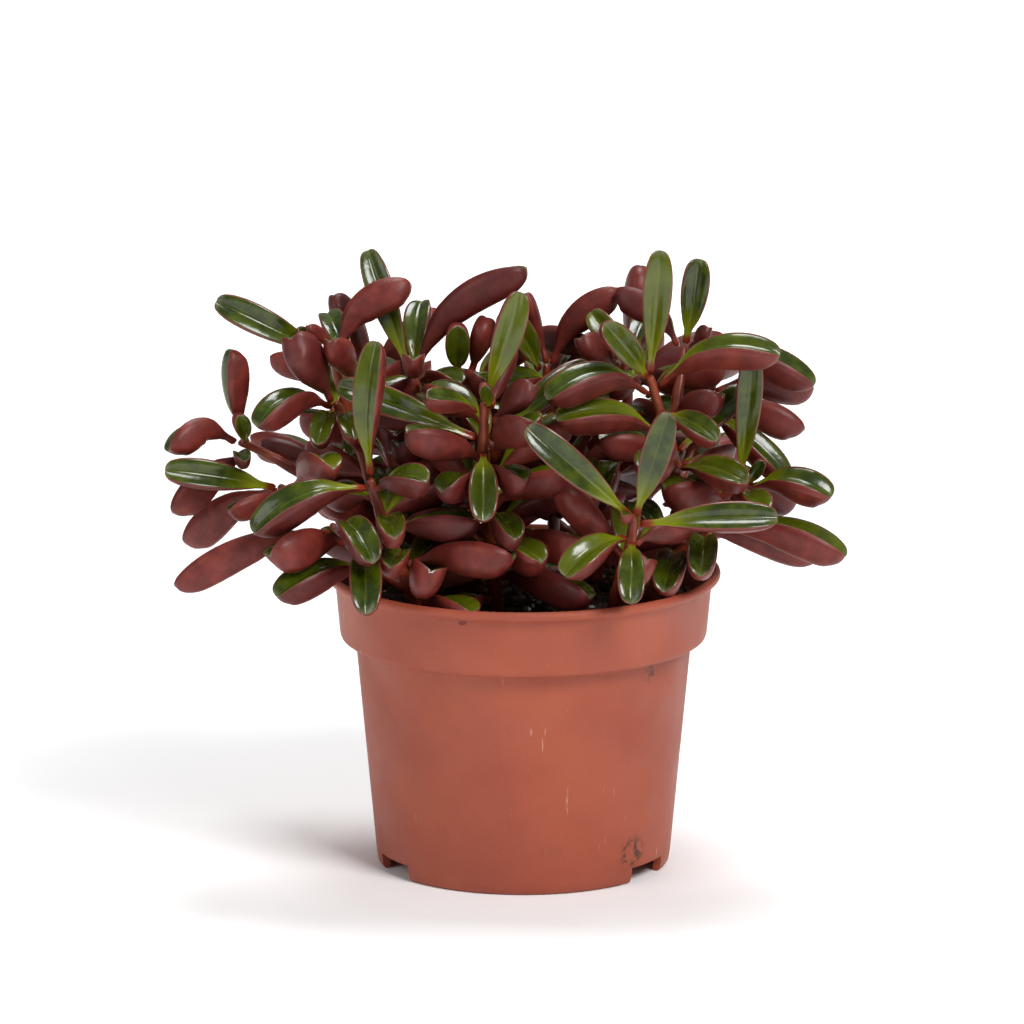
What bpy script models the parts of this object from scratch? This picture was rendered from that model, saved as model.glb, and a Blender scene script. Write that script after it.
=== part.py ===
"""Potted peperomia: a succulent, boat-leaved peperomia in a 12 cm moulded plastic nursery pot.

The origin is on the pot's axis at the level that the foot stands on, +Z is up and -Y is the
front. Lengths in the tables are millimetres. The pot and the soil are turned shapes. Each
rooted cutting is one branching stem. Each leaf is a folded, keeled boat that is lofted from
its petiole on the stem to its blunt tip.
"""
import bmesh
import bpy
from math import cos, pi, radians, sin
from mathutils import Matrix, Quaternion, Vector
from mathutils.bvhtree import BVHTree

MM = 0.001

# pot
LIP_RADIUS = 60.0
POT_HEIGHT = 91.5
LIP_THICK = 2.4
LIP_DEPTH = 3.2
BAND_TOP_RADIUS = 57.3
BAND_BOTTOM_RADIUS = 55.9
BAND_BOTTOM = 70.3
WALL_TOP_RADIUS = 51.2
WALL_BOTTOM_RADIUS = 44.9
WALL_THICK = 1.3
FOOT_RADIUS = 43.2
FOOT_WIDTH = 1.2
FLOOR_HEIGHT = 6.0
TURN_STEPS = 36

# notches in the foot ring and drain holes in the floor
NOTCH_ANGLES = (-62.3, 57.9, 177.4)
NOTCH_WIDTH = 17.0
NOTCH_HEIGHT = 5.0
NOTCH_REACH = 11.3
DRAIN_RADIUS = 3.5
DRAIN_RINGS = ((5, 29.0, 11.0),)

# soil
SOIL_TOP = 80.0
SOIL_LUMP = 0.9
GAP = 0.35

# stems
ROOT_DEPTH = 12.0
ROOT_RADIUS = 2.5
MAIN_TIP_RADIUS = 1.9
SIDE_BASE_RADIUS = 2.1
SIDE_TIP_RADIUS = 1.7
STEM_SIDES = 6
STEM_STEP = 12.0

# leaves
LEAF_RINGS = 6
PETIOLE_RADIUS = 1.15
PETIOLE_SHARE = 0.13
KEEL_RATIO = 1.08

# Each cutting: its branches by shoot name, each a route from its root or fork to its tip.
CUTTINGS = {
    "stem_left": (
        ("left_top", ((-31, -8, 80), (-36, -6, 95), (-44, -4, 112), (-50, 0, 130),
                      (-55, 1, 146), (-58, 0, 157))),
        ("left_upper", ((-49, 0, 127), (-54, -5, 136), (-57, -9, 145))),
        ("left_low", ((-37, -6, 97), (-52, -9, 107), (-74, -10, 119))),
        ("left_outer", ((-54, -9, 109), (-67, -6, 122), (-86, -5, 132))),
    ),
    "stem_front_left": (
        ("front_left", ((-30, -28, 80), (-35, -31, 95), (-42, -34, 112), (-46, -35, 127))),
        ("front_left_low", ((-33, -30, 90), (-46, -31, 101), (-58, -30, 112))),
    ),
    "stem_centre": (
        ("middle", ((-8, -12, 80), (-10, -18, 100), (-12, -25, 124), (-12, -29, 149))),
    ),
    "stem_mid_left": (
        ("mid_left", ((-14, 14, 80), (-20, 14, 100), (-28, 12, 125), (-34, 10, 149))),
        ("mid_back", ((-20, 14, 102), (-19, 13, 126), (-18, 10, 149))),
    ),
    "stem_back": (
        ("back_middle", ((10, 16, 80), (9, 18, 105), (8, 20, 130), (7, 20, 150))),
        ("back_right", ((9, 18, 103), (19, 15, 128), (31, 10, 153))),
    ),
    "stem_right": (
        ("right_top", ((38, -4, 80), (43, -6, 97), (47, -8, 112), (46, -10, 126),
                       (43, -12, 138), (38, -15, 154))),
        ("right_back", ((44, -12, 134), (47, -2, 147), (49, 5, 159))),
        ("right_side", ((46, -9, 117), (52, 0, 130), (57, 5, 145))),
        ("right_outer", ((46, -8, 109), (56, -9, 113), (67, -10, 119))),
        ("right_low", ((42, -5, 93), (49, -10, 101), (57, -15, 107))),
    ),
    "stem_front_right": (
        ("front_right", ((26, -28, 80), (29, -35, 95), (32, -42, 108), (33, -45, 117))),
    ),
    "stem_rear_left": (
        ("rear_left", ((-27, 26, 80), (-34, 30, 100), (-42, 34, 122), (-46, 36, 138))),
        ("rear_left_low", ((-30, 28, 90), (-43, 36, 101), (-57, 42, 111))),
    ),
    "stem_rear_right": (
        ("rear_right", ((22, 30, 80), (26, 34, 102), (30, 38, 124), (33, 40, 142))),
        ("rear_right_low", ((24, 32, 91), (36, 42, 102), (48, 48, 112))),
        ("rear_low", ((22, 31, 87), (10, 43, 96), (2, 53, 105))),
    ),
}

# Each leaf: its shoot, how far below the shoot's tip it grows, where its own tip is,
# its width, the way its green face looks, and its arch as a share of its length.
LEAVES = (
    ("left_top", 1, (-93, -4, 175), 9.0, (0, -1, 0.4), 0.08),
    ("left_top", 0, (-34, 6, 178), 9.0, (-0.6, 0.5, 0.6), 0.20),
    ("left_outer", 1, (-88, -8, 161), 7.5, (-1, -0.3, 0.2), 0.06),
    ("left_outer", 0, (-107, -15, 131), 8.5, (-0.5, 0.2, 0.8), 0.28),
    ("left_outer", 5, (-106, -12, 111), 9.0, (-0.6, 0.3, 0.6), 0.10),
    ("left_low", 2, (-109, -13, 129), 9.0, (0.1, -1, 0.5), 0.06),
    ("left_low", 0, (-102, 2, 98), 9.5, (-0.5, 0.4, 0.7), 0.12),
    ("left_low", 5, (-57, -38, 131), 9.5, (0, 0.2, 1), 0.18),
    ("left_upper", 1, (-80, -30, 142), 9.0, (-0.2, -0.2, 1), 0.20),
    ("left_upper", 5, (-73, -20, 166), 11.0, (0.2, 1, 0.2), 0.06),
    ("front_left", 2, (-81, -42, 112), 10.5, (-0.2, -0.5, 0.9), 0.16),
    ("front_left", 0, (-44, -38, 170), 8.5, (-0.5, -1, 0.1), 0.10),
    ("front_left", 3, (-29, -56, 131), 9.0, (0.1, -0.6, 0.9), 0.10),
    ("front_left_low", 2, (-105, -32, 93), 9.5, (-0.1, 0.25, 1), 0.10),
    ("front_left_low", 1, (-45, -60, 107), 9.5, (0, -0.5, 1), 0.20),
    ("front_left_low", 8, (-76, -50, 107), 11.0, (0, 0.6, 0.8), 0.08),
    ("front_left_low", 19, (-74, -50, 96), 9.5, (-0.1, -0.3, 1), 0.12),
    ("front_left_low", 14, (-47, -63, 92), 10.0, (0, -0.6, 1), 0.18),
    ("mid_left", 0, (1, 4, 183), 9.5, (-0.55, 0.3, 0.75), 0.16),
    ("mid_left", 2, (-48, 12, 187), 8.5, (-0.1, -1, 0.2), 0.06),
    ("middle", 0, (-1, -33, 184), 9.0, (0.15, -1, 0.1), 0.05),
    ("middle", 12, (-56, -18, 152), 9.0, (-0.2, -1, 0.5), 0.08),
    ("middle", 14, (-12, -52, 118), 9.0, (0, -0.8, 0.7), 0.08),
    ("back_middle", 1, (29, 18, 174), 8.5, (-0.6, 0.4, 0.6), 0.15),
    ("right_top", 0, (41, -20, 194), 9.0, (0.05, -1, 0.15), 0.04),
    ("right_top", 2, (24, -32, 174), 8.5, (-0.2, -0.9, 0.6), 0.08),
    ("right_top", 5, (7, -34, 151), 10.0, (-0.1, -0.35, 1), 0.20),
    ("right_top", 3, (77, -26, 163), 9.5, (0, -0.35, 1), 0.18),
    ("right_top", 12, (58, -36, 139), 8.0, (0.2, -0.9, 0.6), 0.08),
    ("right_top", 20, (10, -31, 144), 9.5, (0, -0.5, 1), 0.14),
    ("right_top", 30, (67, -35, 126), 9.0, (0, -0.8, 0.8), 0.08),
    ("right_back", 0, (53, 2, 187), 8.5, (0.1, -1, 0.1), 0.04),
    ("right_back", 1, (28, 14, 174), 8.5, (0.5, 0.2, 0.8), 0.16),
    ("right_back", 2, (88, -4, 149), 9.0, (0.1, -0.2, 1), 0.14),
    ("right_side", 4, (85, 0, 134), 9.5, (0, 0.3, 1), 0.12),
    ("right_outer", 2, (66, -22, 162), 8.0, (0.1, -1, 0.1), 0.04),
    ("right_outer", 0, (93, -20, 118), 9.5, (0, -0.4, 1), 0.16),
    ("right_low", 0, (97, -27, 101), 10.0, (0, -0.05, 1), 0.12),
    ("right_low", 3, (53, -43, 99), 9.5, (0, -0.8, 0.8), 0.14),
    ("right_low", 14, (42, -42, 94), 10.0, (0, -0.6, 0.8), 0.12),
    ("front_right", 0, (1, -53, 147), 9.5, (-0.35, -0.9, 0.5), 0.08),
    ("front_right", 1, (43, -56, 152), 9.0, (0.1, -1, 0.3), 0.04),
    ("front_right", 2, (76, -48, 118), 9.0, (0, -1, 0.6), 0.06),
    ("front_right", 5, (12, -60, 103), 9.5, (-0.1, -0.7, 0.8), 0.14),
    ("front_right", 6, (32, -66, 96), 8.5, (0, -0.8, 0.7), 0.12),
    ("front_left", 28, (-3, -46, 105), 10.5, (0, 0.3, 1), 0.08),
    ("rear_left_low", 1, (-84, 58, 118), 9.5, (-0.2, 0.4, 1), 0.12),
    ("rear_right_low", 1, (74, 66, 116), 9.5, (0.2, 0.4, 1), 0.12),
    ("rear_low", 1, (-6, 86, 112), 9.5, (0, 0.4, 1), 0.12),
)


def material(name, colour, roughness):
    """A plain surface material."""
    made = bpy.data.materials.new(name)
    made.use_nodes = True
    shader = made.node_tree.nodes["Principled BSDF"]
    shader.inputs["Base Color"].default_value = (*colour, 1.0)
    shader.inputs["Roughness"].default_value = roughness
    shader.inputs["Metallic"].default_value = 0.0
    made.diffuse_color = (*colour, 1.0)
    return made


def loft(rings):
    """A closed skin over rings of points, in millimetres. A ring of one point is an end."""
    bm = bmesh.new()
    rows = []
    for ring in rings:
        rows.append([bm.verts.new(Vector(point) * MM) for point in ring])
    for low, high in zip(rows, rows[1:]):
        count = max(len(low), len(high))
        for i in range(count):
            j = (i + 1) % count
            corners = [low[i % len(low)], low[j % len(low)],
                       high[j % len(high)], high[i % len(high)]]
            bm.faces.new(list(dict.fromkeys(corners)))
    bmesh.ops.recalc_face_normals(bm, faces=bm.faces)
    return bm


def add_object(name, bm, *materials):
    """An object from a bmesh, shaded smooth but for its sharp corners."""
    mesh = bpy.data.meshes.new(name)
    bm.to_mesh(mesh)
    bm.free()
    for made in materials:
        mesh.materials.append(made)
    mesh.shade_smooth()
    mesh.set_sharp_from_angle(angle=radians(40))
    obj = bpy.data.objects.new(name, mesh)
    bpy.context.scene.collection.objects.link(obj)
    return obj


def boolean(obj, tool, operation):
    """Cut or join a helper solid, which is then only a guide."""
    tool.hide_render = True
    tool.display_type = "WIRE"
    modifier = obj.modifiers.new(tool.name, "BOOLEAN")
    modifier.operation = operation
    modifier.solver = "EXACT"
    modifier.object = tool


def turned(profile, lump=None):
    """Rings about the Z axis through (radius, height) points whose two ends lie on it."""
    rings = []
    for radius, height in profile:
        if radius == 0:
            rings.append([(0, 0, height)])
            continue
        ring = []
        for i in range(TURN_STEPS):
            turn = 2 * pi * i / TURN_STEPS
            rise = lump(radius, turn) if lump and height > BAND_BOTTOM + 5 else 0
            ring.append((radius * cos(turn), radius * sin(turn), height + rise))
        rings.append(ring)
    return rings


def pot_inside():
    """The inner outline of the pot from the floor up to the lip, as (radius, height)."""
    return [
        (WALL_BOTTOM_RADIUS - WALL_THICK - 1.2, FLOOR_HEIGHT + 1.2),
        (WALL_BOTTOM_RADIUS - WALL_THICK + 0.1, FLOOR_HEIGHT + 2.4),
        (WALL_TOP_RADIUS - WALL_THICK, BAND_BOTTOM + 0.3),
        (WALL_TOP_RADIUS - WALL_THICK + 0.4, BAND_BOTTOM + 1.1),
        (BAND_BOTTOM_RADIUS - WALL_THICK - 0.6, BAND_BOTTOM + 1.3),
        (BAND_BOTTOM_RADIUS - WALL_THICK, BAND_BOTTOM + 2.0),
        (BAND_TOP_RADIUS - WALL_THICK, POT_HEIGHT - LIP_DEPTH),
        (LIP_RADIUS - LIP_THICK, POT_HEIGHT - 0.9),
    ]


def make_pot():
    """Foot ring, wall, stepped band and rounded lip, turned in one piece."""
    plastic = material("terracotta_plastic", (0.40, 0.10, 0.05), 0.55)
    foot_inner = FOOT_RADIUS - FOOT_WIDTH
    outside = [
        (0, FLOOR_HEIGHT),
        (foot_inner + 0.7, FLOOR_HEIGHT),
        (foot_inner, 0.8),
        (foot_inner + 0.2, 0),
        (FOOT_RADIUS, 0),
        (FOOT_RADIUS + 1.2, 0.8),
        (WALL_BOTTOM_RADIUS, 3.2),
        (WALL_TOP_RADIUS, BAND_BOTTOM - 0.3),
        (BAND_BOTTOM_RADIUS - 1.3, BAND_BOTTOM),
        (BAND_BOTTOM_RADIUS - 0.3, BAND_BOTTOM + 0.5),
        (BAND_BOTTOM_RADIUS, BAND_BOTTOM + 1.7),
        (BAND_TOP_RADIUS, POT_HEIGHT - LIP_DEPTH - 0.9),
        (LIP_RADIUS - 0.6, POT_HEIGHT - LIP_DEPTH + 0.2),
        (LIP_RADIUS, POT_HEIGHT - LIP_DEPTH + 1.2),
        (LIP_RADIUS - 0.2, POT_HEIGHT - 0.7),
        (LIP_RADIUS - 1.0, POT_HEIGHT),
        (LIP_RADIUS - 1.9, POT_HEIGHT - 0.2),
    ]
    profile = outside + pot_inside()[::-1] + [(0, FLOOR_HEIGHT + 1.2)]
    pot = add_object("pot", loft(turned(profile)), plastic)
    for number, angle in enumerate(NOTCH_ANGLES):
        bm = bmesh.new()
        bmesh.ops.create_cube(bm, size=1.0)
        size = (NOTCH_WIDTH * MM, NOTCH_REACH * MM, 2 * NOTCH_HEIGHT * MM)
        bmesh.ops.scale(bm, vec=size, verts=bm.verts)
        cutter = add_object(f"notch_cutter_{number}", bm)
        turn = Matrix.Rotation(radians(angle), 4, "Z")
        cutter.matrix_world = turn @ Matrix.Translation((0, -FOOT_RADIUS * MM, 0))
        boolean(pot, cutter, "DIFFERENCE")
    for count, ring_radius, start in DRAIN_RINGS:
        for i in range(count):
            bm = bmesh.new()
            bmesh.ops.create_cone(bm, cap_ends=True, segments=8, radius1=DRAIN_RADIUS * MM,
                                  radius2=DRAIN_RADIUS * MM, depth=6 * MM)
            cutter = add_object(f"drain_cutter_{count}_{i}", bm)
            turn = Matrix.Rotation(radians(start + 360 * i / count), 4, "Z")
            place = Matrix.Translation((0, ring_radius * MM, FLOOR_HEIGHT * MM))
            cutter.matrix_world = turn @ place
            boolean(pot, cutter, "DIFFERENCE")
    return pot


def soil_lump(radius, turn):
    """How far the soil's top rises above its mean level here."""
    wave = sin(3 * turn + radius / 9) + 0.6 * sin(5 * turn - radius / 6)
    return SOIL_LUMP * wave * min(1, radius / 12)


def make_soil(roots):
    """The root ball: it fills the pot to under its rim and holds each root in a pocket."""
    earth = material("compost", (0.035, 0.022, 0.014), 0.95)
    side = [(radius - GAP, height) for radius, height in pot_inside()[:6]]
    side[0] = (side[0][0], side[0][1] + GAP)
    side[3] = (side[3][0], side[3][1] + GAP)
    side[4] = (side[4][0], side[4][1] + GAP)
    top = [(BAND_BOTTOM_RADIUS - WALL_THICK, SOIL_TOP - 1.2)]
    for radius in (50, 40, 28, 14):
        top.append((radius, SOIL_TOP))
    profile = [(0, side[0][1])] + side + top + [(0, SOIL_TOP)]
    soil = add_object("soil", loft(turned(profile, soil_lump)), earth)
    for number, (x, y) in enumerate(roots):
        bm = bmesh.new()
        bmesh.ops.create_cone(bm, cap_ends=True, segments=12, radius1=(ROOT_RADIUS + 0.5) * MM,
                              radius2=(ROOT_RADIUS + 0.5) * MM, depth=2 * (ROOT_DEPTH + GAP) * MM)
        cutter = add_object(f"root_cutter_{number}", bm)
        cutter.location = (x * MM, y * MM, SOIL_TOP * MM)
        boolean(soil, cutter, "DIFFERENCE")
    return soil


def smooth_route(points, step):
    """Points about step apart on a Catmull-Rom curve through the given points."""
    knots = [Vector(point) for point in points]
    knots = [2 * knots[0] - knots[1]] + knots + [2 * knots[-1] - knots[-2]]
    route = []
    for a, b, c, d in zip(knots, knots[1:], knots[2:], knots[3:]):
        parts = max(1, round((c - b).length / step))
        for i in range(parts):
            t = i / parts
            route.append(0.5 * (2 * b + (c - a) * t + (2 * a - 5 * b + 4 * c - d) * t ** 2
                                + (3 * b - a - 3 * c + d) * t ** 3))
    route.append(knots[-2])
    return route


def tube(route, start_radius, end_radius):
    """Rings of a tapering stem with rounded ends."""
    forward = (route[1] - route[0]).normalized()
    side = forward.orthogonal().normalized()
    rings = [[route[0]]]
    for i, centre in enumerate(route):
        here = (route[min(i + 1, len(route) - 1)] - route[max(i - 1, 0)]).normalized()
        side = (side - here * side.dot(here)).normalized()
        other = here.cross(side)
        share = i / (len(route) - 1)
        radius = start_radius + (end_radius - start_radius) * share
        end_ring = i in (0, len(route) - 1)
        radius *= 0.8 if end_ring else 1.0
        ring = []
        for k in range(STEM_SIDES):
            turn = 2 * pi * k / STEM_SIDES
            ring.append(centre + radius * (cos(turn) * side + sin(turn) * other))
        rings.append(ring)
    rings[0] = [route[0] - forward * start_radius * 0.4]
    rings.append([route[-1] + here * end_radius * 0.4])
    return rings


def make_stems():
    """One joined, branching stem for each cutting. Returns each shoot's route and body."""
    bark = material("fleshy_stem", (0.42, 0.10, 0.03), 0.4)
    shoots = {}
    for name, branches in CUTTINGS.items():
        trunk = None
        for shoot, points in branches:
            if trunk is None:
                x, y, _ = points[0]
                points = ((x, y, SOIL_TOP - ROOT_DEPTH + 1), (x, y, SOIL_TOP + 1)) + points[1:]
                radii = (ROOT_RADIUS, MAIN_TIP_RADIUS)
            else:
                radii = (SIDE_BASE_RADIUS, SIDE_TIP_RADIUS)
            route = smooth_route(points, STEM_STEP)
            bm = loft(tube(route, *radii))
            body = BVHTree.FromBMesh(bm)
            obj = add_object(name if trunk is None else f"{name}_{shoot}", bm, bark)
            if trunk is None:
                trunk = obj
            else:
                boolean(trunk, obj, "UNION")
            shoots[shoot] = (route, body)
    return shoots


def point_below_tip(route, below):
    """The point this far down a shoot from its tip."""
    for high, low in zip(route[::-1], route[-2::-1]):
        span = (high - low).length
        if below <= span:
            return high.lerp(low, below / span)
        below -= span
    return route[0]


def blade(share):
    """The leaf's outline: slim at the petiole, widest past its middle, blunt at the tip."""
    if share <= 0:
        return 0
    return share ** 0.7 * (1 - share) ** 0.38 / 0.497


def leaf_rings(base, tip, width, face, arch):
    """Rings of a folded, keeled leaf, each of eight points from one margin round its keel."""
    chord = tip - base
    length = chord.length
    face = (face - chord * face.dot(chord) / length ** 2).normalized()
    rings = [[base]]
    for i in range(1, LEAF_RINGS + 1):
        t = (i / (LEAF_RINGS + 0.6)) ** 0.9 if i > 1 else 0.05
        centre = base + chord * t + face * (4 * arch * length * t * (1 - t))
        slope = (chord + face * (4 * arch * length * (1 - 2 * t))).normalized()
        up = (face - slope * face.dot(slope)).normalized()
        side = slope.cross(up)
        swell = blade((t - PETIOLE_SHARE) / (1 - PETIOLE_SHARE))
        half = max(PETIOLE_RADIUS, width / 2 * swell)
        deep = max(2 * PETIOLE_RADIUS, width * KEEL_RATIO * swell)
        section = ((-1.0, 0.28), (-0.5, 0.15), (0, 0.04), (0.5, 0.15),
                   (1.0, 0.28), (0.8, -0.24), (0, -0.72), (-0.8, -0.24))
        rings.append([centre + side * half * x + up * deep * z for x, z in section])
    rings.append([tip])
    return rings


def nudges():
    """Small turns of a leaf about its foot, the smallest first, as (sideways, upward) degrees."""
    yield 0, 0
    for reach in (3, 6, 9, 12, 16, 20, 25, 30):
        for step in range(8):
            yield reach * cos(step * pi / 4), reach * sin(step * pi / 4)


def spaced(rings):
    """A leaf's body, grown by the clearance that it keeps from its neighbours."""
    bm = loft(rings)
    bm.normal_update()
    for vert in bm.verts:
        vert.co += vert.normal * GAP * MM
    grown = BVHTree.FromBMesh(bm)
    bm.free()
    return grown


def settle_leaf(row, shoots, placed):
    """Rings of a leaf turned just enough about its foot to stay clear of what is there."""
    shoot, below, tip, width, face, arch = row
    route, stem = shoots[shoot]
    foot = point_below_tip(route, below)
    reach = Vector(tip) - foot
    face = Vector(face).normalized()
    across = reach.cross(face).normalized()
    for size in (1.0, 0.9, 0.8, 0.7):
        for sideways, upward in nudges():
            turn = Quaternion(face, radians(sideways)) @ Quaternion(across, radians(upward))
            heading = turn @ reach
            start = foot
            for _ in range(24):
                start = start + heading.normalized() * 0.3
                rings = leaf_rings(start, foot + heading, width * size, turn @ face, arch)
                body = spaced(rings)
                if not body.overlap(stem):
                    break
            if not any(body.overlap(other) for other in placed):
                return rings
    raise RuntimeError(f"no room for a leaf on {shoot}")


def make_leaves(shoots, solids):
    """Every large leaf, each a node of its own, clear of the others."""
    green = material("leaf_face", (0.10, 0.16, 0.03), 0.25)
    red = material("leaf_keel", (0.20, 0.03, 0.03), 0.5)
    placed = solids + [body for _, body in shoots.values()]
    counts = {}
    for row in LEAVES:
        rings = settle_leaf(row, shoots, placed)
        bm = loft(rings)
        placed.append(BVHTree.FromBMesh(bm))
        for face in bm.faces:
            place = [vert.index for vert in face.verts]
            face.material_index = 0 if len(place) == 4 and is_upper(place) else 1
        counts[row[0]] = counts.get(row[0], 0) + 1
        add_object(f"leaf_{row[0]}_{counts[row[0]]}", bm, green, red)


def is_upper(indices):
    """Whether a leaf's side face lies between its margins on the channel side."""
    return all((index - 1) % 8 <= 4 for index in indices)


def body_of(obj):
    """The solid's shape as its modifiers leave it."""
    depsgraph = bpy.context.evaluated_depsgraph_get()
    return BVHTree.FromObject(obj, depsgraph)


for old in list(bpy.data.objects):
    bpy.data.objects.remove(old, do_unlink=True)

pot_object = make_pot()
shoot_routes = make_stems()
root_places = [branches[0][1][0][:2] for branches in CUTTINGS.values()]
soil_object = make_soil(root_places)
make_leaves(shoot_routes, [body_of(pot_object), body_of(soil_object)])
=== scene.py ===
"""Looks of the potted peperomia: smooth folded leaves, fleshy stems, a moulded pot and compost."""

import random
from math import cos, pi, radians, sin

import bmesh
import bpy
from mathutils import Matrix, Quaternion, Vector, noise
from mathutils.bvhtree import BVHTree


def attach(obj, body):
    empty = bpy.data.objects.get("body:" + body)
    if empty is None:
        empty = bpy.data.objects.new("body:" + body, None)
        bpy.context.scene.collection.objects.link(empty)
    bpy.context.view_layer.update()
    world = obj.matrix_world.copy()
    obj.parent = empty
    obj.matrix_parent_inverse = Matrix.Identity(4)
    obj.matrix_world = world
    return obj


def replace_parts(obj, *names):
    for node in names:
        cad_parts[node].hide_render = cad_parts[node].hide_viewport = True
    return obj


MM = 0.001
SIDES = 8
LEAF_STATIONS = 26
UPPER_POINTS = 11
LOWER_POINTS = 13
PETIOLE_RADIUS = 1.15 * MM
PETIOLE_SHARE = 0.13
KEEL_RATIO = 1.08
CLEARANCE = 0.2 * MM
SOIL_TOP = 80.0

# the pot's driving sizes in millimetres
LIP_RADIUS = 60.0
POT_HEIGHT = 91.5
BAND_TOP = 87.2
BAND_BOTTOM = 70.3
FLOOR_HEIGHT = 6.0
FOOT_RADIUS = 43.2
NOTCH_SIZE = (17.0, 11.3, 10.0)
NOTCH_ANGLES = (-62.3, 57.9, 177.4)
TURN_STEPS = 144

# the camera: its tilt, distance, aim and lens
CAMERA_TILT = 12.96
CAMERA_DISTANCE = 3.0
CAMERA_AIM = (-0.0035, 0, 0.1088)
CAMERA_LENS = 346.8

# dirt on the pot: where its middle is and how far it reaches, in metres
DIRT_SPOTS = (
    ((0.0400, -0.0350, 0.0668), 0.0050),
    ((0.0335, -0.0320, 0.0100), 0.0070),
)

# each lamp: its name, place, size and power
LAMPS = (
    ("key_lamp", (0.9, -1.3, 1.6), 0.8, 36),
    ("fill_lamp", (-1.4, -1.0, 0.9), 1.0, 7),
    ("top_lamp", (0.1, 0.6, 1.9), 0.8, 26),
)

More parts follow.
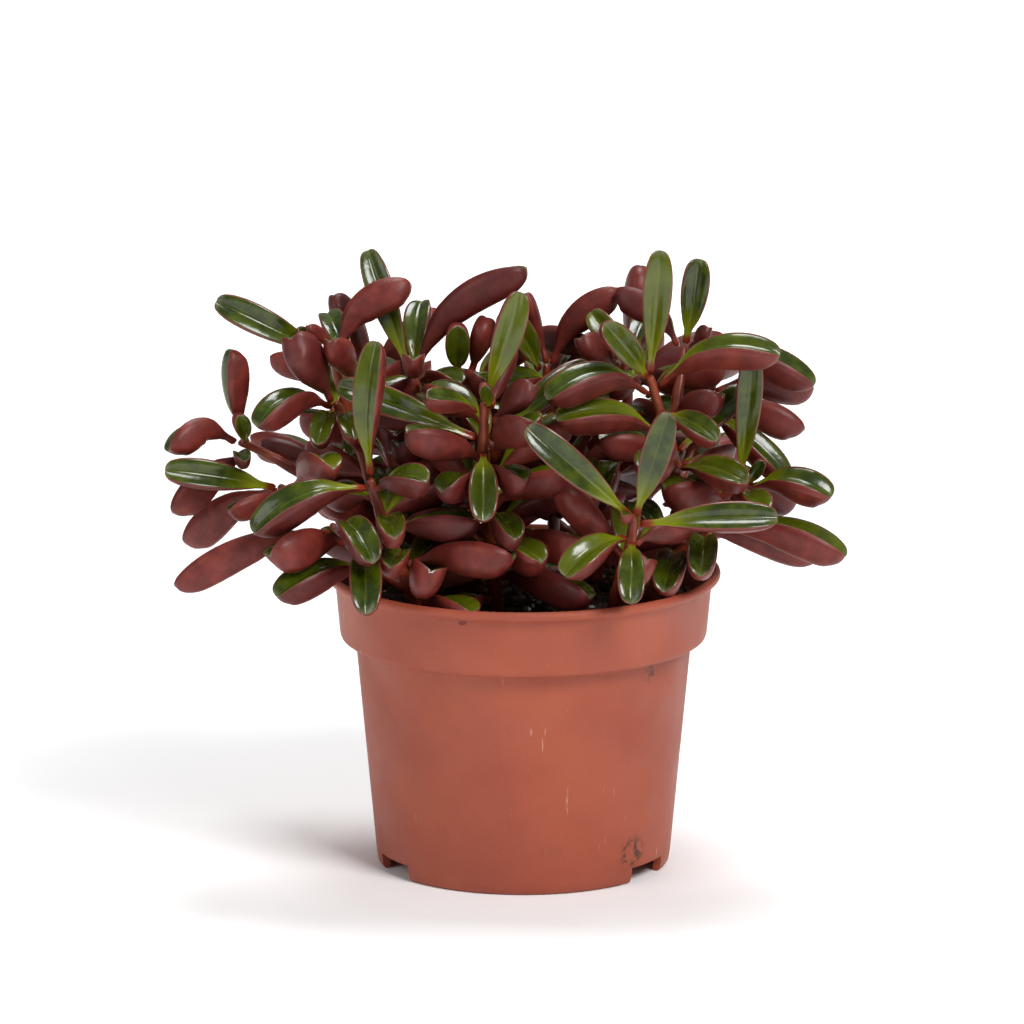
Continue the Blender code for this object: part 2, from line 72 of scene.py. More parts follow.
# Young and inner leaves: foot, tip, width, the way the green face looks, arch.
YOUNG_LEAVES = (
    ((-60, -2, 158), (-68, -8, 168), 4.5, (0, -1, 0.5), 0.05),
    ((-57, -3, 160), (-66, -12, 169), 4.0, (0.5, 1, 0), 0.05),
    ((-52, 1, 151), (-62, 16, 168), 8.0, (-0.2, -0.3, 1), 0.20),
    ((-88, -6, 134), (-103, -10, 147), 4.5, (0, -1, 0.6), 0.05),
    ((-84, -8, 132), (-86, -14, 142), 5.5, (0.4, -1, 0), 0.05),
    ((-87, -8, 129), (-84, -20, 129), 5.5, (0, -0.4, 1), 0.10),
    ((-72, -12, 116), (-89, -22, 114), 7.0, (0, 0.4, 1), 0.08),
    ((-60, -4, 124), (-80, 4, 129), 7.0, (0, 0.5, 1), 0.08),
    ((-58, -8, 142), (-62, -28, 136), 8.0, (-0.1, -1, 0.6), 0.14),
    ((-54, -8, 141), (-53, -30, 138), 8.0, (0, -1, 0.7), 0.14),
    ((-51, 0, 148), (-68, -20, 156), 8.0, (0, 0.3, 1), 0.10),
    ((-48, -33, 124), (-56, -42, 132), 6.0, (0, -1, 0.6), 0.06),
    ((-45, -33, 121), (-60, -20, 118), 8.5, (0, -0.6, 1), 0.10),
    ((-42, -33, 114), (-42, -58, 114), 9.0, (0, -0.5, 1), 0.12),
    ((-36, -31, 103), (-41, -52, 104), 8.5, (0, -0.8, 1), 0.12),
    ((-58, -31, 110), (-98, -44, 97), 9.0, (0, 0.4, 1), 0.10),
    ((-32, -30, 94), (-34, -45, 110), 11.0, (0, 1, 0.3), 0.05),
    ((-30, -30, 88), (-19, -56, 95), 10.0, (0, 0.2, 1), 0.06),
    ((-34, -31, 100), (-12, -52, 104), 9.5, (0, -0.8, 0.8), 0.10),
    ((-34, 8, 150), (-33, -22, 161), 7.5, (0, 0.2, 1), 0.05),
    ((-31, 8, 148), (-19, -10, 151), 8.0, (0, -0.1, 1), 0.12),
    ((-33, 12, 149), (-31, 30, 168), 8.5, (0, 0.5, 1), 0.12),
    ((-20, 9, 150), (-20, 4, 168), 8.0, (0, -1, 0.1), 0.05),
    ((-16, 9, 150), (-14, 5, 169), 7.5, (0.2, 1, 0), 0.05),
    ((-18, 8, 147), (-22, -14, 153), 8.0, (0, 0.6, 1), 0.08),
    ((-15, 10, 146), (2, 24, 158), 8.5, (0, 0.4, 1), 0.10),
    ((-10, -27, 147), (-4, -10, 163), 8.0, (0, 1, 0.2), 0.06),
    ((-14, -30, 147), (-29, -44, 154), 7.0, (0, -0.7, 1), 0.08),
    ((-10, -30, 148), (-12, -36, 156), 4.5, (0, -1, 0.2), 0.04),
    ((-9, -28, 143), (3, -40, 157), 8.0, (0, 1, 0.5), 0.08),
    ((-10, -26, 137), (20, -16, 158), 9.0, (-0.3, -1, 0.4), 0.08),
    ((-11, -25, 128), (-5, -50, 130), 8.5, (0, 0.2, 1), 0.05),
    ((-12, -23, 120), (-22, -48, 126), 9.0, (0, 0.1, 1), 0.16),
    ((-10, -22, 114), (-4, -50, 112), 9.0, (0, 0.3, 1), 0.06),
    ((-9, -17, 100), (18, -38, 108), 10.0, (0, 0.4, 1), 0.08),
    ((-9, -15, 92), (20, -46, 93), 10.0, (0.2, 0.3, 1), 0.08),
    ((-11, -20, 106), (-34, -10, 112), 10.0, (0, 0.5, 1), 0.10),
    ((7, 19, 151), (1, 19, 173), 4.5, (0, 1, 0.1), 0.04),
    ((5, 18, 149), (-15, 12, 170), 9.0, (0.2, -1, 0.5), 0.06),
    ((29, 12, 152), (-1, 24, 163), 8.0, (0, 0.5, 0.9), 0.10),
    ((8, 17, 146), (-8, 0, 148), 8.5, (0, -0.6, 1), 0.10),
    ((9, 22, 146), (24, 44, 160), 8.5, (0, 0.5, 1), 0.12),
    ((8, 16, 134), (2, -14, 136), 9.0, (0, -0.3, 1), 0.10),
    ((10, 17, 120), (20, -10, 124), 9.5, (0, 0.5, 1), 0.06),
    ((32, 9, 155), (21, 12, 169), 8.0, (-0.2, -1, 0.3), 0.06),
    ((29, 8, 151), (17, -6, 164), 8.0, (0, 0.9, 0.6), 0.08),
    ((32, 8, 154), (26, 0, 162), 5.0, (0, -1, 0.4), 0.05),
    ((33, 11, 152), (40, 32, 164), 8.5, (0, 0.4, 1), 0.12),
    ((35, 6, 148), (27, -14, 151), 8.5, (0, -0.5, 1), 0.10),
    ((49, 4, 161), (48, 0, 172), 4.5, (0, -1, 0.1), 0.04),
    ((51, 4, 159), (56, -4, 167), 4.5, (0, 1, 0.5), 0.05),
    ((45, -8, 141), (60, -16, 148), 8.5, (0, 0.4, 1), 0.10),
    ((47, -10, 130), (64, -16, 152), 8.5, (0, -0.8, 0.5), 0.08),
    ((58, 5, 146), (88, 14, 143), 9.0, (0.1, 0.4, 0.9), 0.12),
    ((55, 3, 140), (84, -12, 133), 8.5, (0, -0.4, 1), 0.08),
    ((57, 8, 145), (66, 34, 152), 9.0, (0, 0.4, 1), 0.12),
    ((68, -11, 120), (73, -16, 128), 4.5, (0, -1, 0.2), 0.05),
    ((63, -7, 117), (84, 4, 114), 9.0, (0, 0.5, 1), 0.10),
    ((58, -13, 108), (62, -20, 116), 5.0, (0, -1, 0.3), 0.05),
    ((54, -10, 104), (90, -8, 97), 9.5, (0, 0.3, 1), 0.10),
    ((33, -46, 118), (29, -52, 120), 4.0, (0, -0.5, 1), 0.06),
    ((32, -45, 119), (34, -50, 125), 4.0, (0, -1, 0.3), 0.04),
    ((31, -38, 103), (11, -40, 125), 10.0, (-0.6, 0.7, 0.3), 0.06),
    ((29, -34, 94), (-2, -36, 106), 9.5, (0, 0.5, 0.9), 0.08),
    ((27, -31, 88), (40, -46, 106), 9.5, (0, 1, 0.2), 0.06),
    ((33, -43, 109), (52, -30, 112), 8.5, (0, 0.4, 1), 0.08),
    ((-46, 37, 140), (-58, 30, 170), 8.5, (0.2, 1, 0.3), 0.08),
    ((-46, 38, 139), (-26, 52, 160), 9.0, (0, 0.6, 1), 0.14),
    ((-44, 36, 134), (-78, 40, 148), 9.0, (0, 0.3, 1), 0.14),
    ((-43, 36, 128), (-46, 74, 136), 9.0, (0, 0.4, 1), 0.14),
    ((-40, 33, 118), (-16, 58, 126), 9.0, (0, 0.6, 1), 0.12),
    ((-36, 31, 106), (-70, 26, 112), 9.5, (0, 0.5, 1), 0.10),
    ((-57, 42, 112), (-62, 74, 112), 9.0, (0, 0.4, 1), 0.14),
    ((-50, 39, 106), (-40, 72, 100), 9.5, (0, 0.6, 1), 0.12),
    ((33, 41, 144), (36, 46, 176), 9.0, (0, 1, 0.2), 0.05),
    ((32, 40, 142), (8, 52, 160), 9.0, (0, 0.6, 1), 0.14),
    ((34, 40, 140), (62, 50, 152), 9.0, (0, 0.5, 1), 0.14),
    ((32, 39, 132), (30, 76, 140), 9.0, (0, 0.5, 1), 0.14),
    ((30, 37, 122), (4, 56, 132), 9.0, (0, 0.6, 1), 0.12),
    ((29, 36, 114), (56, 28, 124), 9.5, (0, 0.5, 1), 0.10),
    ((48, 48, 113), (50, 80, 116), 9.0, (0, 0.4, 1), 0.14),
    ((42, 45, 107), (30, 76, 98), 9.5, (0, 0.6, 1), 0.12),
    ((3, 52, 106), (-26, 70, 116), 9.0, (0, 0.5, 1), 0.14),
    ((4, 50, 104), (26, 62, 118), 9.0, (0, 0.5, 1), 0.12),
    ((-20, 13, 106), (-2, -4, 118), 9.5, (0, 0.4, 1), 0.08),
    ((-26, 12, 118), (-38, -12, 132), 9.5, (0, 0.5, 1), 0.10),
    ((-22, 14, 112), (-24, 44, 116), 9.5, (0, 0.5, 1), 0.10),
    ((20, 14, 126), (32, -8, 138), 9.0, (0, 0.4, 1), 0.08),
    ((10, 18, 108), (-10, 40, 112), 9.5, (0, 0.5, 1), 0.10),
    ((44, -6, 100), (66, 12, 106), 9.5, (0, 0.5, 1), 0.10),
    ((-42, -5, 108), (-24, -14, 124), 9.5, (0, 0.4, 1), 0.08),
    ((-46, -2, 119), (-66, 12, 126), 9.5, (0, 0.5, 1), 0.10),
)


def linear(code):
    """A colour from its sRGB hex code."""
    values = [int(code[i:i + 2], 16) / 255 for i in (1, 3, 5)]
    curved = [v / 12.92 if v <= 0.04045 else ((v + 0.055) / 1.055) ** 2.4 for v in values]
    return (*curved, 1.0)


class Nodes:
    """A material's node tree, with short ways to add nodes and links."""

    def __init__(self, name):
        self.material = bpy.data.materials.new(name)
        self.material.use_nodes = True
        self.tree = self.material.node_tree
        self.shader = self.tree.nodes["Principled BSDF"]

    def add(self, kind, **values):
        node = self.tree.nodes.new(kind)
        for key, value in values.items():
            setattr(node, key, value)
        return node

    def link(self, source, target):
        self.tree.links.new(source, target)

    def attribute(self, name):
        return self.add("ShaderNodeAttribute", attribute_name=name).outputs["Fac"]

    def noise(self, scale, detail=3.0, roughness=0.55):
        place = self.add("ShaderNodeTexCoord").outputs["Object"]
        node = self.add("ShaderNodeTexNoise")
        node.inputs["Scale"].default_value = scale
        node.inputs["Detail"].default_value = detail
        node.inputs["Roughness"].default_value = roughness
        self.link(place, node.inputs["Vector"])
        return node.outputs["Fac"]

    def ramp(self, value, low, high, low_out=0.0, high_out=1.0):
        node = self.add("ShaderNodeMapRange", interpolation_type="SMOOTHSTEP")
        ends = {"From Min": low, "From Max": high, "To Min": low_out, "To Max": high_out}
        for key, number in ends.items():
            node.inputs[key].default_value = number
        self.link(value, node.inputs["Value"])
        return node.outputs["Result"]

    def mix(self, factor, first, second):
        node = self.add("ShaderNodeMix", data_type="RGBA")
        self.link(factor, node.inputs["Factor"])
        for key, colour in (("A", first), ("B", second)):
            socket = next(s for s in node.inputs if s.name == key and s.type == "RGBA")
            if isinstance(colour, tuple):
                socket.default_value = colour
            else:
                self.link(colour, socket)
        return next(s for s in node.outputs if s.type == "RGBA")

    def bump(self, height, distance, strength=1.0):
        node = self.add("ShaderNodeBump")
        node.inputs["Distance"].default_value = distance
        node.inputs["Strength"].default_value = strength
        self.link(height, node.inputs["Height"])
        self.link(node.outputs["Normal"], self.shader.inputs["Normal"])

    def math(self, operation, first, second):
        node = self.add("ShaderNodeMath", operation=operation)
        for socket, value in zip(node.inputs, (first, second)):
            if isinstance(value, float):
                socket.default_value = value
            else:
                self.link(value, socket)
        return node.outputs[0]


def leaf_material():
    """Succulent leaf: glossy green window above with a painted highlight along the midrib, pink
    margin, matte wine-red keel.
    """
    n = Nodes("peperomia_leaf")
    lip, along = n.attribute("lip"), n.attribute("along")
    across, tone = n.attribute("across"), n.attribute("tone")
    green = n.mix(n.ramp(n.noise(160), 0.35, 0.7), linear("#253203"), linear("#434f07"))
    green = n.mix(n.ramp(tone, 0.45, 1.0, 0.0, 0.7), green, linear("#626a0b"))
    green = n.mix(n.ramp(along, 0.50, 0.12), green, linear("#78800e"))
    # painted highlight: the green face is mixed towards pale green along the midrib channel, where
    # the gloss streak falls
    green = n.mix(n.ramp(across, 0.08, 0.0, 0.0, 0.22), green, linear("#7c8634"))
    green = n.mix(n.ramp(along, 0.93, 1.0, 0.0, 0.6), green, linear("#6e6a4c"))
    red = n.mix(n.ramp(n.noise(220), 0.3, 0.75), linear("#5e1d16"), linear("#7c2e24"))
    red = n.mix(n.ramp(tone, 0.5, 0.0, 0.0, 0.6), red, linear("#3f1013"))
    red = n.mix(n.ramp(n.noise(2600, 2.0), 0.56, 0.74, 0.0, 0.22), red, linear("#96493c"))
    margin = n.mix(n.ramp(lip, 0.16, 0.04, 0.0, 0.85), green, linear("#7c3c36"))
    colour = n.mix(n.ramp(lip, 0.03, -0.03), margin, red)
    colour = n.mix(n.ramp(along, 0.15, 0.07), colour, linear("#7c2a14"))
    n.link(colour, n.shader.inputs["Base Color"])
    top = n.ramp(lip, 0.0, 0.06)
    n.link(n.ramp(top, 0.0, 1.0, 0.46, 0.20), n.shader.inputs["Roughness"])
    n.link(n.ramp(top, 0.0, 1.0, 0.0, 0.2), n.shader.inputs["Coat Weight"])
    n.shader.inputs["Coat Roughness"].default_value = 0.10
    n.shader.inputs["Specular IOR Level"].default_value = 0.4
    n.shader.inputs["Subsurface Weight"].default_value = 0.12
    n.shader.inputs["Subsurface Radius"].default_value = (0.6, 0.25, 0.1)
    n.shader.inputs["Subsurface Scale"].default_value = 0.003
    n.bump(n.noise(420), 0.0002, 0.5)
    return n.material


def stem_material():
    """Fleshy, slightly translucent orange-red stem."""
    n = Nodes("fleshy_stem")
    colour = n.mix(n.ramp(n.noise(70), 0.35, 0.65), linear("#6a2312"), linear("#8c3c1e"))
    colour = n.mix(n.ramp(n.noise(900), 0.55, 0.75, 0.0, 0.5), colour, linear("#5a2a1c"))
    n.link(colour, n.shader.inputs["Base Color"])
    n.shader.inputs["Roughness"].default_value = 0.38
    n.shader.inputs["Subsurface Weight"].default_value = 0.25
    n.shader.inputs["Subsurface Radius"].default_value = (1.0, 0.3, 0.15)
    n.shader.inputs["Subsurface Scale"].default_value = 0.003
    n.bump(n.noise(500), 0.0003, 0.5)
    return n.material


def pot_material():
    """Moulded polypropylene, terracotta coloured, with scuffs, dust and dirt under the band."""
    n = Nodes("terracotta_plastic")
    colour = n.mix(n.ramp(n.noise(28), 0.3, 0.7), linear("#93412a"), linear("#a04b30"))
    colour = n.mix(n.ramp(n.noise(1500, 2.0), 0.68, 0.76, 0.0, 0.35), colour, linear("#bc8272"))
    colour = n.mix(n.ramp(n.noise(60, 6.0, 0.7), 0.60, 0.78, 0.0, 0.4), colour, linear("#77402c"))
    stretched = n.add("ShaderNodeMapping")
    stretched.inputs["Scale"].default_value = (900, 900, 35)
    stretched.inputs["Rotation"].default_value = (0.3, 0.2, 0)
    n.link(n.add("ShaderNodeTexCoord").outputs["Object"], stretched.inputs["Vector"])
    scratch = n.add("ShaderNodeTexNoise")
    scratch.inputs["Scale"].default_value = 1.0
    n.link(stretched.outputs["Vector"], scratch.inputs["Vector"])
    line = n.ramp(scratch.outputs["Fac"], 0.68, 0.75, 0.0, 0.6)
    worn = n.math("MULTIPLY", line, n.ramp(n.noise(30), 0.56, 0.66))
    colour = n.mix(worn, colour, linear("#d9b0a4"))
    for place, reach in DIRT_SPOTS:
        spot = n.add("ShaderNodeVectorMath", operation="DISTANCE")
        n.link(n.add("ShaderNodeTexCoord").outputs["Object"], spot.inputs[0])
        spot.inputs[1].default_value = place
        near = n.ramp(spot.outputs["Value"], reach, reach * 0.3)
        patch = n.math("MULTIPLY", near, n.ramp(n.noise(420), 0.46, 0.56))
        colour = n.mix(patch, colour, linear("#4a2418"))
    n.link(colour, n.shader.inputs["Base Color"])
    n.link(n.ramp(n.noise(45), 0.3, 0.7, 0.48, 0.62), n.shader.inputs["Roughness"])
    n.bump(n.noise(1800, 2.0), 0.0001, 0.4)
    return n.material


def grain_material(name, dark, light, scale):
    """Matte crumbs of compost, bark or perlite."""
    n = Nodes(name)
    colour = n.mix(n.ramp(n.noise(scale), 0.3, 0.7), linear(dark), linear(light))
    n.link(colour, n.shader.inputs["Base Color"])
    n.shader.inputs["Roughness"].default_value = 0.95
    n.bump(n.noise(scale * 3), 0.0008)
    return n.material


def new_piece(name, bm, surface):
    """A finished smooth mesh that rides on the plant's one body."""
    mesh = bpy.data.meshes.new(name)
    bm.to_mesh(mesh)
    bm.free()
    mesh.materials.append(surface)
    mesh.shade_smooth()
    piece = bpy.data.objects.new(name, mesh)
    bpy.context.scene.collection.objects.link(piece)
    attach(piece, "root")
    return piece


def blade(share):
    """A leaf's outline: slim at its petiole, widest past its middle, blunt at its tip."""
    return max(share, 0.0) ** 0.7 * max(1 - share, 0.0) ** 0.38 / 0.497


def cage_of(node):
    """The rings of a leaf solid, from its foot to its tip, each in order from one margin."""
    bm = bmesh.new()
    bm.from_mesh(node.data)
    bmesh.ops.remove_doubles(bm, verts=bm.verts, dist=0.00002)
    best = None
    for start in bm.verts:
        if len(start.link_edges) != SIDES:
            continue
        seen = {start}
        layers = [[start]]
        while True:
            ring = {e.other_vert(v) for v in layers[-1] for e in v.link_edges} - seen
            if not ring:
                break
            seen |= ring
            layers.append(list(ring))
        sizes = [len(layer) for layer in layers]
        if sizes[-1] == 1 and all(size == SIDES for size in sizes[1:-1]):
            spread = max((v.co - start.co).length for v in layers[1])
            if best is None or spread < best[0]:
                best = (spread, layers)
    rings = []
    for layer in best[1]:
        if len(layer) == 1:
            rings.append([layer[0].co.copy()])
            continue
        centre = sum((v.co for v in layer), Vector()) / SIDES
        first = min(layer, key=lambda v: (v.co - centre).length)
        order = [first]
        while len(order) < SIDES:
            beside = [e.other_vert(order[-1]) for e in order[-1].link_edges]
            order.append(next(v for v in beside if v in layer and v not in order))
        rings.append([v.co.copy() for v in order])
    bm.free()
    return rings


def spine_of(rings):
    """A leaf's stations from its cage: its middle, its up direction and its widest half width."""
    stations = []
    widest = 0.0
    for ring in rings[1:-1]:
        channel, keel = ring[0], ring[4]
        up = (channel - keel).normalized()
        side = ring[2] - ring[6]
        widest = max(widest, side.length / 2)
        stations.append([channel, up])
    stations.insert(0, [rings[0][0], stations[0][1]])
    stations.append([rings[-1][0], stations[-1][1]])
    return stations, widest


def spine_from(row):
    """The same stations for a leaf that is given by its foot, tip, width, face and arch."""
    foot, tip, width, face, arch = row
    foot, tip, face = Vector(foot) * MM, Vector(tip) * MM, Vector(face)
    chord = tip - foot
    face = (face - chord * face.dot(chord) / chord.length_squared).normalized()
    stations = []
    for t in (0, 0.15, 0.35, 0.55, 0.75, 0.9, 1):
        centre = foot + chord * t + face * (4 * arch * chord.length * t * (1 - t))
        slope = (chord + face * (4 * arch * chord.length * (1 - 2 * t))).normalized()
        stations.append([centre, (face - slope * face.dot(slope)).normalized()])
    return stations, width * MM / 2


def along_spine(stations, share):
    """Middle, heading and up direction at a share of the spine, on a Catmull-Rom curve."""
    spans = [(b[0] - a[0]).length for a, b in zip(stations, stations[1:])]
    goal = share * sum(spans)
    index = 0
    while index < len(spans) - 1 and goal > spans[index]:
        goal -= spans[index]
        index += 1
    t = min(goal / spans[index], 1.0)
    b, c = stations[index][0], stations[index + 1][0]
    a = stations[index - 1][0] if index else 2 * b - c
    d = stations[index + 2][0] if index + 2 < len(stations) else 2 * c - b
    place = 0.5 * (2 * b + (c - a) * t + (2 * a - 5 * b + 4 * c - d) * t ** 2
                   + (3 * b - a - 3 * c + d) * t ** 3)
    heading = ((c - a) + (4 * a - 10 * b + 8 * c - 2 * d) * t
               + 3 * (3 * b - a - 3 * c + d) * t ** 2).normalized()
    up = stations[index][1].lerp(stations[index + 1][1], t)
    return place, heading, (up - heading * up.dot(heading)).normalized()


def section():
    """Points round a leaf: (across, height, lip), the folded face first and then the keel."""
    points = []
    for i in range(UPPER_POINTS):
        x = -1 + 2 * i / (UPPER_POINTS - 1)
        height = 0.05 + 0.21 * abs(x) ** 1.15 + 0.05 * sin(pi * abs(x))
        points.append((x, height, 1 - abs(x)))
    for i in range(1, LOWER_POINTS):
        turn = pi * i / LOWER_POINTS
        bulge = cos(turn)
        x = abs(bulge) ** 0.8 * (1 if bulge > 0 else -1)
        points.append((x, 0.26 - 0.98 * sin(turn) ** 0.85, -sin(turn)))
    return points


def leaf_bmesh(stations, half_width, tone):
    """A smooth, thick, folded leaf skin with the values that its material reads."""
    bm = bmesh.new()
    keys = {name: bm.verts.layers.float.new(name) for name in ("lip", "along", "across", "tone")}
    outline = section()
    rows = []
    for k in range(LEAF_STATIONS + 1):
        share = 0.002 + 0.996 * sin(0.5 * pi * k / LEAF_STATIONS) ** 1.15
        place, heading, up = along_spine(stations, share)
        side = heading.cross(up)
        swell = blade((share - PETIOLE_SHARE) / (1 - PETIOLE_SHARE))
        blend = min(1, max(0, (share - PETIOLE_SHARE) / 0.15))
        foot = min(1.0, 0.6 + 20 * share)
        half = max(PETIOLE_RADIUS * foot * (1 - 0.9 * blend), half_width * swell)
        deep = max(2 * PETIOLE_RADIUS * foot * (1 - 0.9 * blend),
                   2 * half_width * KEEL_RATIO * swell)
        row = []
        for x, z, lip in outline:
            flat = 1 - 0.75 * (1 - blend)
            height = z if z < 0.04 else 0.04 + (z - 0.04) * flat
            vert = bm.verts.new(place + side * half * x + up * deep * (height - 0.04))
            vert[keys["lip"]] = lip
            vert[keys["along"]] = share
            vert[keys["across"]] = abs(x)
            vert[keys["tone"]] = tone
            row.append(vert)
        rows.append(row)
    for low, high in zip(rows, rows[1:]):
        for i in range(len(low)):
            j = (i + 1) % len(low)
            bm.faces.new((low[i], low[j], high[j], high[i]))
    bm.faces.new(rows[0])
    bm.faces.new(rows[-1])
    bmesh.ops.recalc_face_normals(bm, faces=bm.faces)
    return bm


def make_leaves(frame, surface):
    """The large leaves over their solids, then the young and inner ones between them."""
    draw = random.Random(7)
    placed = []
    for name, node in sorted(frame["nodes"].items()):
        if name.startswith("leaf_"):
            stations, half_width = spine_of(cage_of(node))
            bm = leaf_bmesh(stations, half_width, draw.random())
            placed.append(BVHTree.FromBMesh(bm))
            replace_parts(new_piece("smooth_" + name, bm, surface), name)
    for number, row in enumerate(YOUNG_LEAVES + tuple(paired_leaves())):
        tone = draw.random()
        bm = None
        for reach in range(0, 34, 3):
            for step in range(8 if reach else 1):
                turned = turn_leaf(row, reach * cos(step * pi / 4), reach * sin(step * pi / 4))
                stations, half_width = spine_from(turned)
                bm = leaf_bmesh(stations, half_width - CLEARANCE, tone)
                body = BVHTree.FromBMesh(bm)
                if not any(body.overlap(other) for other in placed):
                    break
                bm.free()
                bm = None
            if bm:
                break
        if bm:
            placed.append(body)
            new_piece(f"young_leaf_{number + 1:02d}", bm, surface)


def turn_leaf(row, sideways, upward):
    """A leaf's row turned about its foot by these degrees."""
    foot, tip, width, face, arch = row
    reach = Vector(tip) - Vector(foot)
    across = reach.cross(Vector(face)).normalized()
    turn = Quaternion(Vector(face).normalized(), radians(sideways))
    turn = turn @ Quaternion(across, radians(upward))
    return foot, tuple(Vector(foot) + turn @ reach), width, tuple(turn @ Vector(face)), arch


def paired_leaves():
    """The other leaves of each inner whorl, kept inside the plant's outline."""
    draw = random.Random(11)
    for foot, tip, width, face, arch in YOUNG_LEAVES:
        if width < 8 or foot[2] > 150:
            continue
        for turn in (90, 180, 270):
            reach = Vector(tip) - Vector(foot)
            reach.z = draw.uniform(-4, 14)
            reach = Matrix.Rotation(radians(turn + draw.uniform(-20, 20)), 3, "Z") @ reach
            reach = reach.normalized() * draw.uniform(24, 31)
            end = Vector(foot) + reach
            start = Vector(foot) + reach.normalized() * 2 - Vector((0, 0, draw.uniform(2, 7)))
            outside = abs(end.x) > 74 or end.y < -52 or end.y > 72 or end.z > 152
            over_rim = Vector((end.x, end.y)).length > 50 and end.z < 98
            if not outside and not over_rim and end.z > 90 and start.z > 84:
                lean = Vector((0, 0, 1)) + reach.normalized() * draw.uniform(-0.4, 0.1)
                width = draw.uniform(8.5, 10.5)
                yield tuple(start), tuple(end), width, tuple(lean), draw.uniform(0.06, 0.16)


def baked(name, source, surface, modifiers):
    """A plain mesh piece made from a source object with modifiers applied."""
    for kind, values in modifiers:
        modifier = source.modifiers.new(kind, kind)
        for key, value in values.items():
            setattr(modifier, key, value)
    graph = bpy.context.evaluated_depsgraph_get()
    mesh = bpy.data.meshes.new_from_object(source.evaluated_get(graph))
    bpy.data.objects.remove(source, do_unlink=True)
    bm = bmesh.new()
    bm.from_mesh(mesh)
    bmesh.ops.recalc_face_normals(bm, faces=bm.faces)
    return new_piece(name, bm, surface)


def make_stems(frame, surface):
    """Each cutting's stem, rounded and blended where its branches fork."""
    for name, node in sorted(frame["nodes"].items()):
        if not name.startswith("stem_"):
            continue
        bm = bmesh.new()
        bm.from_mesh(node.data)
        bmesh.ops.remove_doubles(bm, verts=bm.verts, dist=0.00002)
        mesh = bpy.data.meshes.new(name + "_source")
        bm.to_mesh(mesh)
        bm.free()
        source = bpy.data.objects.new(name + "_source", mesh)
        bpy.context.scene.collection.objects.link(source)
        piece = baked("smooth_" + name, source, surface, (
            ("REMESH", {"mode": "VOXEL", "voxel_size": 0.0005}),
            ("SMOOTH", {"factor": 0.6, "iterations": 10}),
        ))
        for vert in piece.data.vertices:
            vert.co += Vector(noise.noise_vector(vert.co * 160)) * 0.0004
        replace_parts(piece, name)


def pot_profile():
    """(radius, height) round the pot's section, from under the floor up, over the lip and in."""
    foot = [(0, FLOOR_HEIGHT), (42.7, FLOOR_HEIGHT), (42.0, 0.8), (42.2, 0), (FOOT_RADIUS, 0),
            (44.0, 0.3), (44.5, 1.0), (44.9, 3.2)]
    band = [(51.2, -0.4), (53.9, -0.1), (54.8, 0.1), (55.5, 0.6), (55.8, 1.3), (55.95, 2.1)]
    band = [(radius, BAND_BOTTOM + rise) for radius, rise in band]
    band.append((57.3, BAND_TOP))
    lip = [(2.4, 3.7), (1.6, 3.2), (0.6, 2.8), (0.1, 2.2), (0, 1.5), (0.2, 0.7), (0.7, 0.2),
           (1.3, 0), (1.9, 0.2), (2.3, 0.9), (4.0, 3.2)]
    lip = [(LIP_RADIUS - inset, POT_HEIGHT - drop) for inset, drop in lip]
    inside = [(54.6, 2.0), (54.0, 1.3), (50.3, 1.1), (49.9, 0.3)]
    inside = [(radius, BAND_BOTTOM + rise) for radius, rise in inside]
    floor = [(43.7, FLOOR_HEIGHT + 2.4), (42.4, FLOOR_HEIGHT + 1.2), (0, FLOOR_HEIGHT + 1.2)]
    return foot + band + lip + inside + floor


def make_pot(surface):
    """The pot turned smoothly, with the foot ring's three notches cut."""
    bm = bmesh.new()
    rows = []
    for radius, height in pot_profile():
        row = []
        for i in range(1 if radius == 0 else TURN_STEPS):
            turn = 2 * pi * i / TURN_STEPS
            row.append(bm.verts.new(Vector((radius * cos(turn), radius * sin(turn), height)) * MM))
        rows.append(row)
    for low, high in zip(rows, rows[1:]):
        for i in range(TURN_STEPS):
            j = (i + 1) % TURN_STEPS
            corners = [low[i % len(low)], low[j % len(low)],
                       high[j % len(high)], high[i % len(high)]]
            bm.faces.new(list(dict.fromkeys(corners)))
    bmesh.ops.recalc_face_normals(bm, faces=bm.faces)
    mesh = bpy.data.meshes.new("pot_source")
    bm.to_mesh(mesh)
    bm.free()
    source = bpy.data.objects.new("pot_source", mesh)
    bpy.context.scene.collection.objects.link(source)
    cutters = []
    for angle in NOTCH_ANGLES:
        cut = bmesh.new()
        bmesh.ops.create_cube(cut, size=1.0)
        bmesh.ops.scale(cut, vec=Vector(NOTCH_SIZE) * MM, verts=cut.verts)
        cut_mesh = bpy.data.meshes.new("notch")
        cut.to_mesh(cut_mesh)
        cut.free()
        cutter = bpy.data.objects.new("notch", cut_mesh)
        bpy.context.scene.collection.objects.link(cutter)
        place = Matrix.Translation((0, -FOOT_RADIUS * MM, 0))
        cutter.matrix_world = Matrix.Rotation(radians(angle), 4, "Z") @ place
        cutters.append(cutter)
    bpy.context.view_layer.update()
    steps = []
    for cutter in cutters:
        steps.append(("BOOLEAN", {"operation": "DIFFERENCE", "solver": "EXACT", "object": cutter}))
    piece = baked("smooth_pot", source, surface, steps)
    piece.data.set_sharp_from_angle(angle=radians(35))
    for cutter in cutters:
        bpy.data.objects.remove(cutter, do_unlink=True)
    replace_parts(piece, "pot")


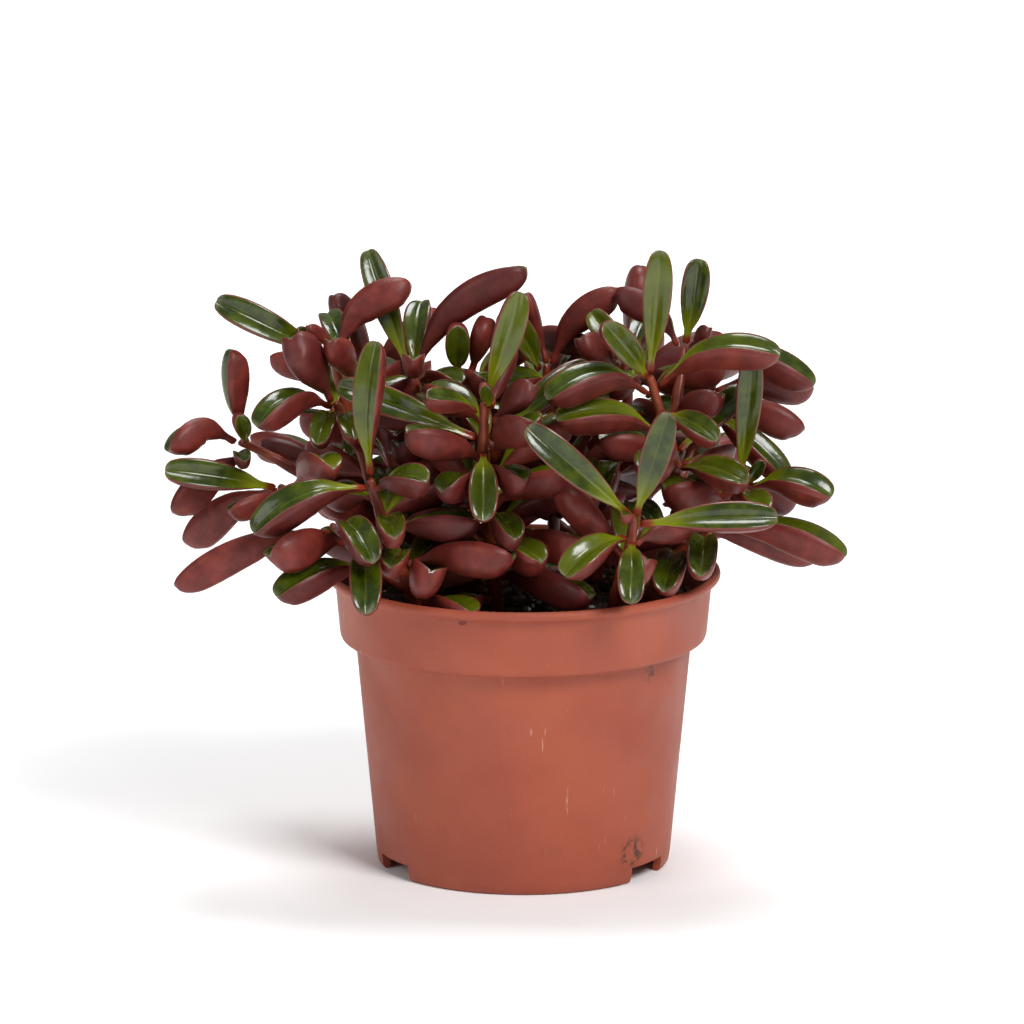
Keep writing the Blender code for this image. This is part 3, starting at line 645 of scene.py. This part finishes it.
def make_grains(name, surface, count, small, large, seed, flat=1.0):
    """Loose crumbs lying on the compost, joined in one piece."""
    draw = random.Random(seed)
    bm = bmesh.new()
    for _ in range(count):
        radius = 53.0 * MM * draw.random() ** 0.5
        turn = 2 * pi * draw.random()
        size = draw.uniform(small, large) * MM
        height = SOIL_TOP * MM + draw.uniform(-0.2, 1.0) * MM
        place = Matrix.Translation((radius * cos(turn), radius * sin(turn), height))
        angle = draw.uniform(0, 2 * pi)
        axis = (draw.random(), draw.random(), draw.random() + 0.1)
        spin = Matrix.Rotation(angle, 4, axis)
        wide = size * draw.uniform(0.6, 1.0)
        stretch = Matrix.Diagonal((size, wide, size * flat * draw.uniform(0.5, 0.9), 1))
        grown = bmesh.ops.create_icosphere(bm, subdivisions=1, radius=1.0,
                                           matrix=place @ spin @ stretch)
        for vert in grown["verts"]:
            vert.co += Vector(noise.noise_vector(vert.co * 900)) * size * 0.3
    new_piece(name, bm, surface)


def make_stage():
    """White floor, soft lamps and the camera."""
    bpy.ops.mesh.primitive_plane_add(size=6)
    floor = bpy.context.object
    floor.name = "floor"
    n = Nodes("white_floor")
    n.shader.inputs["Base Color"].default_value = (0.97, 0.97, 0.97, 1)
    n.shader.inputs["Roughness"].default_value = 0.9
    n.shader.inputs["Specular IOR Level"].default_value = 0.0
    n.shader.inputs["Emission Color"].default_value = (1, 1, 1, 1)
    away = n.add("ShaderNodeVectorMath", operation="LENGTH")
    n.link(n.add("ShaderNodeTexCoord").outputs["Object"], away.inputs[0])
    glow = n.ramp(away.outputs["Value"], 0.25, 1.0, 0.0, 0.35)
    n.link(glow, n.shader.inputs["Emission Strength"])
    floor.data.materials.append(n.material)
    for name, place, size, power in LAMPS:
        light = bpy.data.lights.new(name, "AREA")
        light.size = size
        light.energy = power
        lamp = bpy.data.objects.new(name, light)
        lamp.location = place
        shine = Vector((0, 0, 0.1)) - Vector(place)
        lamp.rotation_euler = shine.to_track_quat("-Z", "Y").to_euler()
        bpy.context.scene.collection.objects.link(lamp)
    world = bpy.data.worlds.new("studio")
    bpy.context.scene.world = world
    world.use_nodes = True
    background = world.node_tree.nodes["Background"]
    background.inputs["Color"].default_value = (1, 1, 1, 1)
    path = world.node_tree.nodes.new("ShaderNodeLightPath")
    level = world.node_tree.nodes.new("ShaderNodeMapRange")
    level.inputs["To Min"].default_value = 0.24
    level.inputs["To Max"].default_value = 1.0
    world.node_tree.links.new(path.outputs["Is Camera Ray"], level.inputs["Value"])
    world.node_tree.links.new(level.outputs["Result"], background.inputs["Strength"])
    camera = bpy.data.objects.new("camera", bpy.data.cameras.new("camera"))
    tilt = radians(CAMERA_TILT)
    away = Vector((0, -cos(tilt), sin(tilt)))
    camera.location = Vector(CAMERA_AIM) + CAMERA_DISTANCE * away
    camera.rotation_euler = (-away).to_track_quat("-Z", "Y").to_euler()
    camera.data.lens = CAMERA_LENS
    camera.data.sensor_width = 36
    bpy.context.scene.collection.objects.link(camera)
    bpy.context.scene.camera = camera
    bpy.context.scene.view_settings.view_transform = "Standard"


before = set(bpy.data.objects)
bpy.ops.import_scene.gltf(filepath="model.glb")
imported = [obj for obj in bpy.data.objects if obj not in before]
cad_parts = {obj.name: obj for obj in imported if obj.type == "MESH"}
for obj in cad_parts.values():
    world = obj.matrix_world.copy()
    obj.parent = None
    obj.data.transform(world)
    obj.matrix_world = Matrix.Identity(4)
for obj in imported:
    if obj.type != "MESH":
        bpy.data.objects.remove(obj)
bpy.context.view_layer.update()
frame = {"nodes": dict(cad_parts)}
make_leaves(frame, leaf_material())
make_stems(frame, stem_material())
make_pot(pot_material())
compost = grain_material("compost", "#1f150e", "#4a3422", 500)
soil = frame["nodes"]["soil"]
soil.data.materials.clear()
soil.data.materials.append(compost)
make_grains("compost_crumbs", compost, 1400, 0.5, 1.8, 3)
bark = grain_material("bark", "#3a2416", "#6b4a30", 300)
make_grains("bark_chips", bark, 120, 1.2, 2.6, 5, 0.5)
perlite = grain_material("perlite", "#b9b2a6", "#e6e2da", 700)
make_grains("perlite", perlite, 70, 0.5, 1.2, 9)
make_stage()
